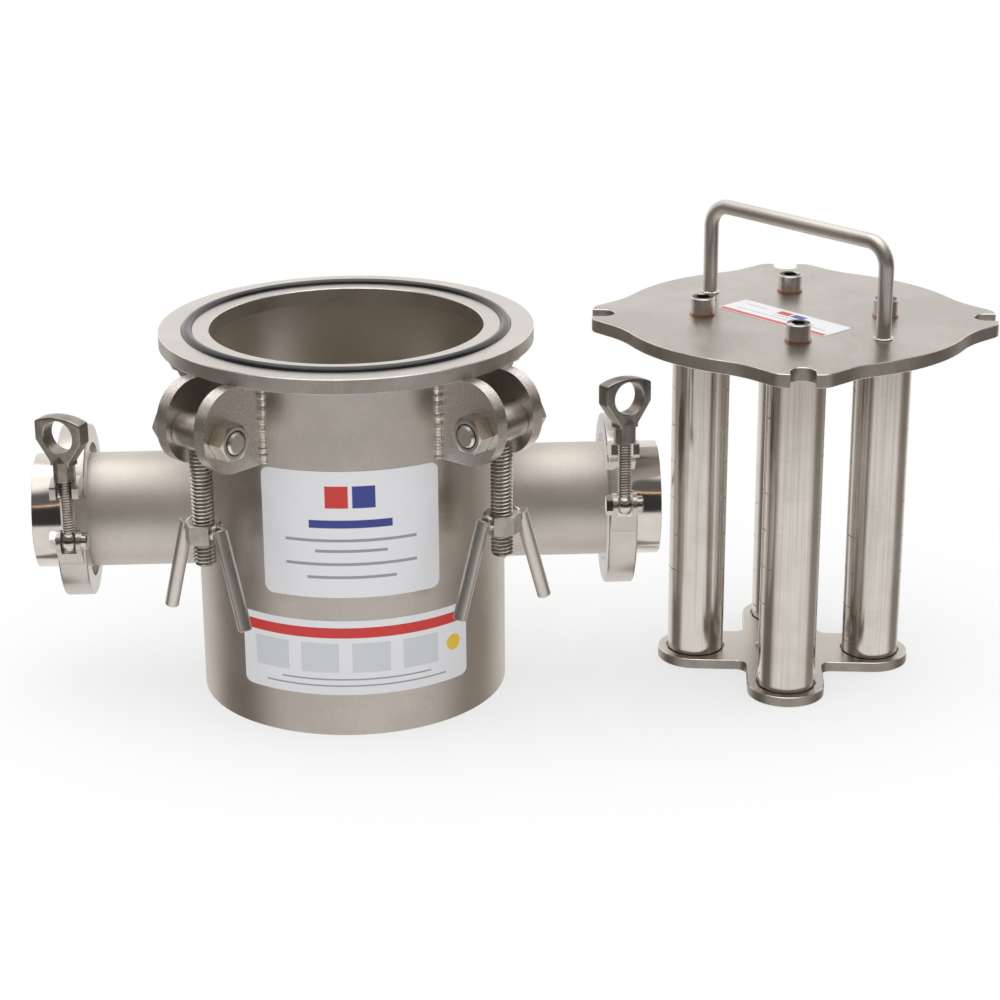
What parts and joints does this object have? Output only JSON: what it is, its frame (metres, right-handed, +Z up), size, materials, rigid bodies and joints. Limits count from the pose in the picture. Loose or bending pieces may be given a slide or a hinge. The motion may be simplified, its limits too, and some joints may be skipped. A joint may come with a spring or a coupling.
{
  "type": "inline magnetic filter",
  "caption": "Stainless inline magnetic filter: flanged housing with clamped pipe ends and swing bolts, and its magnet insert with a lobed cover and lift handle standing beside it.",
  "frame": {"origin": "centre of the housing's underside", "axes": "+X along the pipe from inlet to outlet, towards the insert; +Y to the rear; +Z up"},
  "size_m": [0.7153, 0.3014, 0.351],
  "materials": {
    "blasted_steel": "bead-blasted stainless steel, satin",
    "milled_steel": "milled and brushed stainless steel",
    "polished_steel": "polished stainless steel",
    "cast_steel": "tumbled stainless casting",
    "dark_cast_steel": "dark tumbled stainless casting",
    "fastener_steel": "turned stainless steel",
    "plain_steel": "turned steel, hidden",
    "magnet_metal": "nickel-plated magnet, hidden",
    "black_rubber": "smooth black rubber",
    "label_film": "satin white film with plain coloured fields",
    "copper": "copper washer"
  },
  "bodies": {
    "filter": {"bar_magnets": "magnet_metal", "bottom_plate": "blasted_steel", "clamp_bolt_pins": "fastener_steel", "clamp_hinge_pins": "fastener_steel", "clamp_pin_nuts": "fastener_steel", "cover_label": "label_film", "cover_plate": "milled_steel", "cover_screws": "fastener_steel", "cover_washers": "copper", "flange_o_ring": "black_rubber", "guide_plate": "milled_steel", "guide_screws": "fastener_steel", "housing_shell": "blasted_steel", "inlet_clamp_lower_half": "cast_steel", "inlet_clamp_upper_half": "cast_steel", "inlet_ferrule": "blasted_steel", "inlet_gasket": "black_rubber", "inlet_pipe": "blasted_steel", "inlet_stub": "polished_steel", "lift_handle": "milled_steel", "lower_label": "label_film", "lugs_front_left": "blasted_steel", "lugs_front_right": "blasted_steel", "lugs_rear_left": "blasted_steel", "lugs_rear_right": "blasted_steel", "magnet_tube_1": "polished_steel", "magnet_tube_2": "polished_steel", "magnet_tube_3": "polished_steel", "magnet_tube_4": "polished_steel", "outlet_clamp_lower_half": "cast_steel", "outlet_clamp_upper_half": "cast_steel", "outlet_ferrule": "blasted_steel", "outlet_gasket": "black_rubber", "outlet_pipe": "blasted_steel", "outlet_stub": "polished_steel", "pivot_bolts": "fastener_steel", "pivot_nuts": "fastener_steel", "pole_discs": "plain_steel", "top_flange": "milled_steel", "tube_bottom_plugs": "plain_steel", "tube_top_plugs": "plain_steel", "upper_label": "label_film"},
    "swing_front_left": {"swing_bolt_front_left": "fastener_steel"},
    "swing_front_right": {"swing_bolt_front_right": "fastener_steel"},
    "swing_rear_right": {"swing_bolt_rear_right": "fastener_steel"},
    "swing_rear_left": {"swing_bolt_rear_left": "fastener_steel"},
    "nut_front_left": {"handle_nut_front_left": "fastener_steel", "nut_bars_front_left": "fastener_steel"},
    "nut_front_right": {"handle_nut_front_right": "fastener_steel", "nut_bars_front_right": "fastener_steel"},
    "nut_rear_right": {"handle_nut_rear_right": "fastener_steel", "nut_bars_rear_right": "fastener_steel"},
    "nut_rear_left": {"handle_nut_rear_left": "fastener_steel", "nut_bars_rear_left": "fastener_steel"},
    "inlet_eye": {"inlet_clamp_eye_bolt": "fastener_steel"},
    "outlet_eye": {"outlet_clamp_eye_bolt": "fastener_steel"},
    "inlet_wing": {"inlet_clamp_wing_nut": "dark_cast_steel"},
    "outlet_wing": {"outlet_clamp_wing_nut": "dark_cast_steel"}
  },
  "joints": [
    {"name": "swing_front_left", "type": "hinge", "parent": "filter", "child": "swing_front_left", "pos_m": [-0.10291, -0.10844, 0.2325], "axis": [-0.7254, 0.6884, 0], "range_deg": [0, 180]},
    {"name": "turn_nut_front_left", "type": "hinge", "parent": "swing_front_left", "child": "nut_front_left", "pos_m": [-0.10291, -0.10844, 0.2325], "axis": [0, 0, 1], "range_deg": [-30, 30]},
    {"name": "swing_front_right", "type": "hinge", "parent": "filter", "child": "swing_front_right", "pos_m": [0.10844, -0.10291, 0.2325], "axis": [-0.6884, -0.7254, 0], "range_deg": [0, 180]},
    {"name": "turn_nut_front_right", "type": "hinge", "parent": "swing_front_right", "child": "nut_front_right", "pos_m": [0.10844, -0.10291, 0.2325], "axis": [0, 0, 1], "range_deg": [-30, 30]},
    {"name": "swing_rear_right", "type": "hinge", "parent": "filter", "child": "swing_rear_right", "pos_m": [0.10291, 0.10844, 0.2325], "axis": [0.7254, -0.6884, 0], "range_deg": [0, 180]},
    {"name": "turn_nut_rear_right", "type": "hinge", "parent": "swing_rear_right", "child": "nut_rear_right", "pos_m": [0.10291, 0.10844, 0.2325], "axis": [0, 0, 1], "range_deg": [-30, 30]},
    {"name": "swing_rear_left", "type": "hinge", "parent": "filter", "child": "swing_rear_left", "pos_m": [-0.10844, 0.10291, 0.2325], "axis": [0.6884, 0.7254, 0], "range_deg": [0, 180]},
    {"name": "turn_nut_rear_left", "type": "hinge", "parent": "swing_rear_left", "child": "nut_rear_left", "pos_m": [-0.10844, 0.10291, 0.2325], "axis": [0, 0, 1], "range_deg": [-30, 30]},
    {"name": "inlet_eye_swing", "type": "hinge", "parent": "filter", "child": "inlet_eye", "pos_m": [-0.203, -0.072, 0.14], "axis": [1, 0, 0], "range_deg": [0, 110]},
    {"name": "inlet_wing_turn", "type": "hinge", "parent": "inlet_eye", "child": "inlet_wing", "pos_m": [-0.203, -0.072, 0.14], "axis": [0, 0, 1], "continuous": true},
    {"name": "outlet_eye_swing", "type": "hinge", "parent": "filter", "child": "outlet_eye", "pos_m": [0.1995, -0.06938, 0.15736], "axis": [1, 0, 0], "range_deg": [-10, 100]},
    {"name": "outlet_wing_turn", "type": "hinge", "parent": "outlet_eye", "child": "outlet_wing", "pos_m": [0.1995, -0.06938, 0.15736], "axis": [0, 0.0698, 0.9976], "continuous": true}
  ]
}
